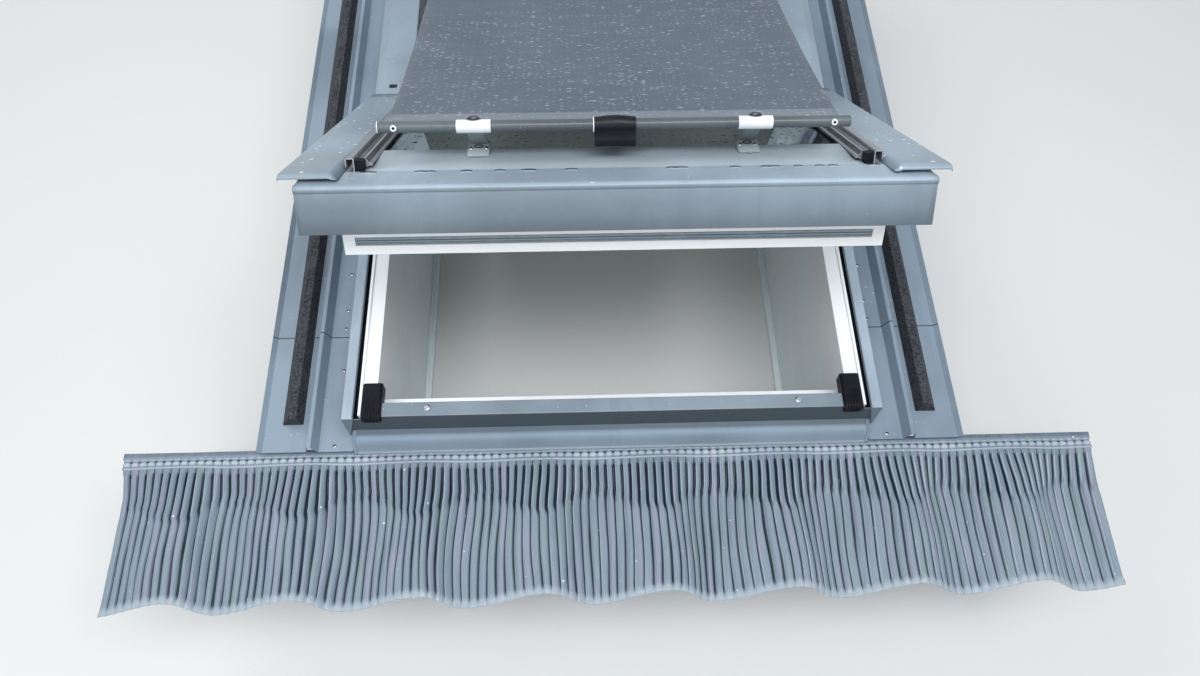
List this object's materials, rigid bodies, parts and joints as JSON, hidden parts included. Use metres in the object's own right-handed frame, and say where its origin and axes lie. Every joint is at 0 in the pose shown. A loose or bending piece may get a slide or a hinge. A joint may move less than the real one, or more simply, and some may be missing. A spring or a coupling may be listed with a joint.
{
  "type": "roof skylight",
  "caption": "Centre pivot roof window with white timber frame and sash, grey aluminium covers, flashing with a pleated apron, reveal lining and an outside awning blind.",
  "frame": {"origin": "middle of the window on the plane of the fixing brackets' undersides, which lies on the roof battens; the centre of the pattern of bracket holes", "axes": "+X across the window to its right as seen from outside with the ridge up, +Y up the slope of the roof, +Z out of the roof"},
  "size_m": [1.232, 1.282, 0.6557],
  "materials": {
    "white_timber": "white painted pine, satin",
    "lining_board": "white laminated board, satin",
    "grey_aluminium": "blue grey powder coat, satin",
    "bracket_paint": "blue grey powder coat, satin",
    "flashing_aluminium": "blue grey coated sheet, satin, wet",
    "apron_sheet": "blue grey pleated soft sheet, satin, wet",
    "bare_aluminium": "mill finish",
    "black_rubber": "matte",
    "grey_rubber": "matte",
    "black_plastic": "matte",
    "white_plastic": "satin",
    "dark_bar": "anthracite powder coat, satin",
    "steel": "zinc plated",
    "glass": "clear",
    "spacer_metal": "satin",
    "awning_mesh": "close mesh, matte, wet",
    "roller_tube": "satin",
    "handle_aluminium": "brushed",
    "foam": "closed cell foam, matte"
  },
  "bodies": {
    "frame": {"apron": "apron_sheet", "awning_casing": "grey_aluminium", "casing_caps": "grey_aluminium", "corner_plugs": "black_rubber", "cover_screws": "steel", "fixing_brackets": "steel", "fixing_screws": "steel", "flashing_corner_left": "flashing_aluminium", "flashing_corner_right": "flashing_aluminium", "flashing_head": "flashing_aluminium", "flashing_sill": "flashing_aluminium", "frame_bottom": "white_timber", "frame_cover_bottom": "grey_aluminium", "frame_gaskets": "black_rubber", "frame_head": "white_timber", "frame_side_left": "white_timber", "frame_side_right": "white_timber", "gutter_foam": "foam", "gutter_left": "flashing_aluminium", "gutter_right": "flashing_aluminium", "hinges_frame": "steel", "hood": "grey_aluminium", "lining_bottom": "lining_board", "lining_head": "lining_board", "lining_left": "lining_board", "lining_right": "lining_board", "side_cover_lower_left": "grey_aluminium", "side_cover_lower_right": "grey_aluminium", "side_cover_upper_left": "grey_aluminium", "side_cover_upper_right": "grey_aluminium"},
    "sash": {"sash_rail_bottom": "white_timber", "sash_rail_top": "white_timber", "sash_rail_left": "white_timber", "sash_rail_right": "white_timber", "glass_outer": "glass", "glass_spacer": "spacer_metal", "glass_inner": "glass", "glazing_gasket": "black_rubber", "sash_cover_bottom": "grey_aluminium", "sash_cover_top": "grey_aluminium", "wing_left": "grey_aluminium", "wing_right": "grey_aluminium", "glazing_bar_left": "bare_aluminium", "glazing_bar_right": "bare_aluminium", "glazing_beads": "bare_aluminium", "end_blocks": "black_rubber", "sash_seal": "grey_rubber", "hinges_sash": "steel", "awning_brackets": "bracket_paint", "bar_clamps": "white_plastic", "clamp_caps": "black_plastic", "awning_bar": "dark_bar", "bar_screws": "steel", "pull_tab": "black_plastic", "control_lugs": "handle_aluminium", "bracket_screws": "steel"},
    "awning_cloth": {"awning_cloth": "awning_mesh"},
    "control_bar": {"control_bar": "handle_aluminium"},
    "awning_roller": {"awning_roller": "roller_tube", "awning_roll": "awning_mesh"}
  },
  "joints": [
    {"name": "sash_pivot", "type": "hinge", "parent": "frame", "child": "sash", "pos_m": [0, 0.002, 0.09], "axis": [-1, 0, 0], "range_deg": [-38.5, 6.5]},
    {"name": "awning_swing", "type": "hinge", "parent": "sash", "child": "awning_cloth", "pos_m": [0, -0.29948, 0.3937], "axis": [-1, 0, 0], "range_deg": [-4, 19]},
    {"name": "awning_wind", "type": "hinge", "parent": "frame", "child": "awning_roller", "pos_m": [0, 0.47, 0.1546], "axis": [1, 0, 0], "range_deg": [-290, 60]},
    {"name": "control_bar_turn", "type": "hinge", "parent": "sash", "child": "control_bar", "pos_m": [0, 0.26435, -0.2388], "axis": [1, 0, 0], "range_deg": [0, 35]}
  ],
  "couplings": [
    {"joint": "awning_swing", "follows": "sash_pivot", "ratio": -0.4597},
    {"joint": "awning_wind", "follows": "sash_pivot", "ratio": 7.3}
  ]
}
